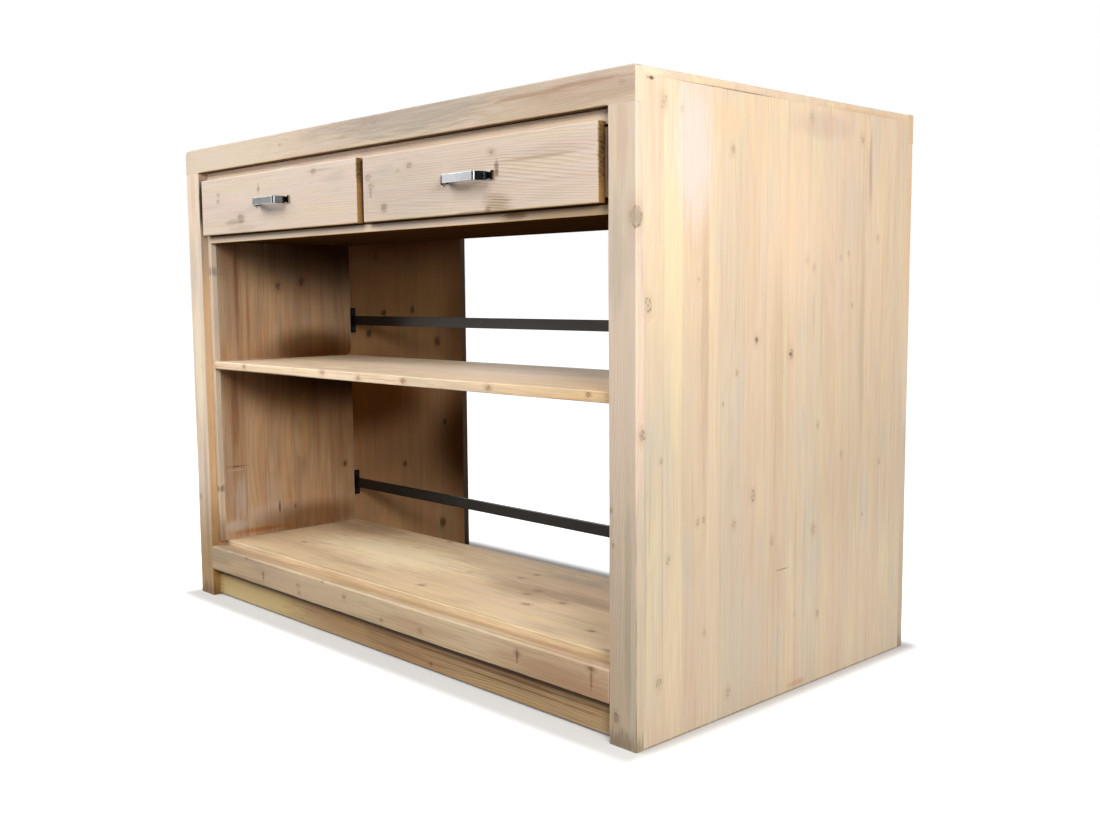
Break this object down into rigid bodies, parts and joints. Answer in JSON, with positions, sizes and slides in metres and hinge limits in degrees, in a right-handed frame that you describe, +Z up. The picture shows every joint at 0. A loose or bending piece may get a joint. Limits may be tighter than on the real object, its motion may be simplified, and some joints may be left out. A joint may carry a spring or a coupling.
{
  "type": "kitchen island",
  "caption": "Freestanding open wooden kitchen island with side-by-side drawers on wooden runners, open shelves, dark metal rails and a knee space at the rear.",
  "frame": {"origin": "on the ground, midway across the width and midway between the grips of the pulls and the rear frame", "axes": "+X to the right seen from the drawer side, +Y from the drawers to the open rear, +Z up"},
  "size_m": [1.22, 0.7, 0.9],
  "materials": {
    "washed_pine": "whitewashed and waxed pine",
    "inner_pine": "thinly whitewashed pine, darker inside",
    "bare_pine": "sanded, unfinished",
    "black_steel": "satin black",
    "pull_metal": "satin nickel",
    "screw_steel": "zinc plated"
  },
  "bodies": {
    "island": {"side_panel_left": "washed_pine", "side_panel_right": "washed_pine", "front_stile_left": "washed_pine", "front_stile_right": "washed_pine", "rear_stile_left": "washed_pine", "rear_stile_right": "washed_pine", "top_rail_front": "washed_pine", "top_rail_rear": "washed_pine", "frame_dowels": "bare_pine", "worktop": "washed_pine", "lipping_left": "washed_pine", "lipping_right": "washed_pine", "upper_liner_left": "inner_pine", "upper_liner_right": "inner_pine", "lower_liner_left": "inner_pine", "lower_liner_right": "inner_pine", "drawer_rail_upper": "washed_pine", "drawer_rail_lower": "washed_pine", "drawer_divider": "washed_pine", "drawer_deck": "inner_pine", "drawer_bay_back": "inner_pine", "runner_left_outer": "bare_pine", "runner_left_inner": "bare_pine", "runner_right_inner": "bare_pine", "runner_right_outer": "bare_pine", "middle_shelf": "inner_pine", "floor_panel": "inner_pine", "floor_rail_front": "washed_pine", "floor_rail_rear": "inner_pine", "floor_cleat_left": "bare_pine", "floor_cleat_right": "bare_pine", "plinth_board": "washed_pine", "upper_bar": "black_steel", "lower_bar": "black_steel", "upper_bar_plates": "black_steel", "lower_bar_plates": "black_steel", "upper_bar_screws": "screw_steel", "lower_bar_screws": "screw_steel"},
    "left_drawer": {"left_drawer_front": "washed_pine", "left_drawer_box_front": "bare_pine", "left_drawer_left_side": "bare_pine", "left_drawer_right_side": "bare_pine", "left_drawer_back": "bare_pine", "left_drawer_bottom": "inner_pine", "left_pull": "pull_metal", "left_pull_screws": "screw_steel"},
    "right_drawer": {"right_drawer_front": "washed_pine", "right_drawer_box_front": "bare_pine", "right_drawer_left_side": "bare_pine", "right_drawer_right_side": "bare_pine", "right_drawer_back": "bare_pine", "right_drawer_bottom": "inner_pine", "right_pull": "pull_metal", "right_pull_screws": "screw_steel"}
  },
  "joints": [
    {"name": "left_drawer_slide", "type": "slide", "parent": "island", "child": "left_drawer", "axis": [0, -1, 0], "range_m": [0, 0.23]},
    {"name": "right_drawer_slide", "type": "slide", "parent": "island", "child": "right_drawer", "axis": [0, -1, 0], "range_m": [0, 0.23]}
  ]
}
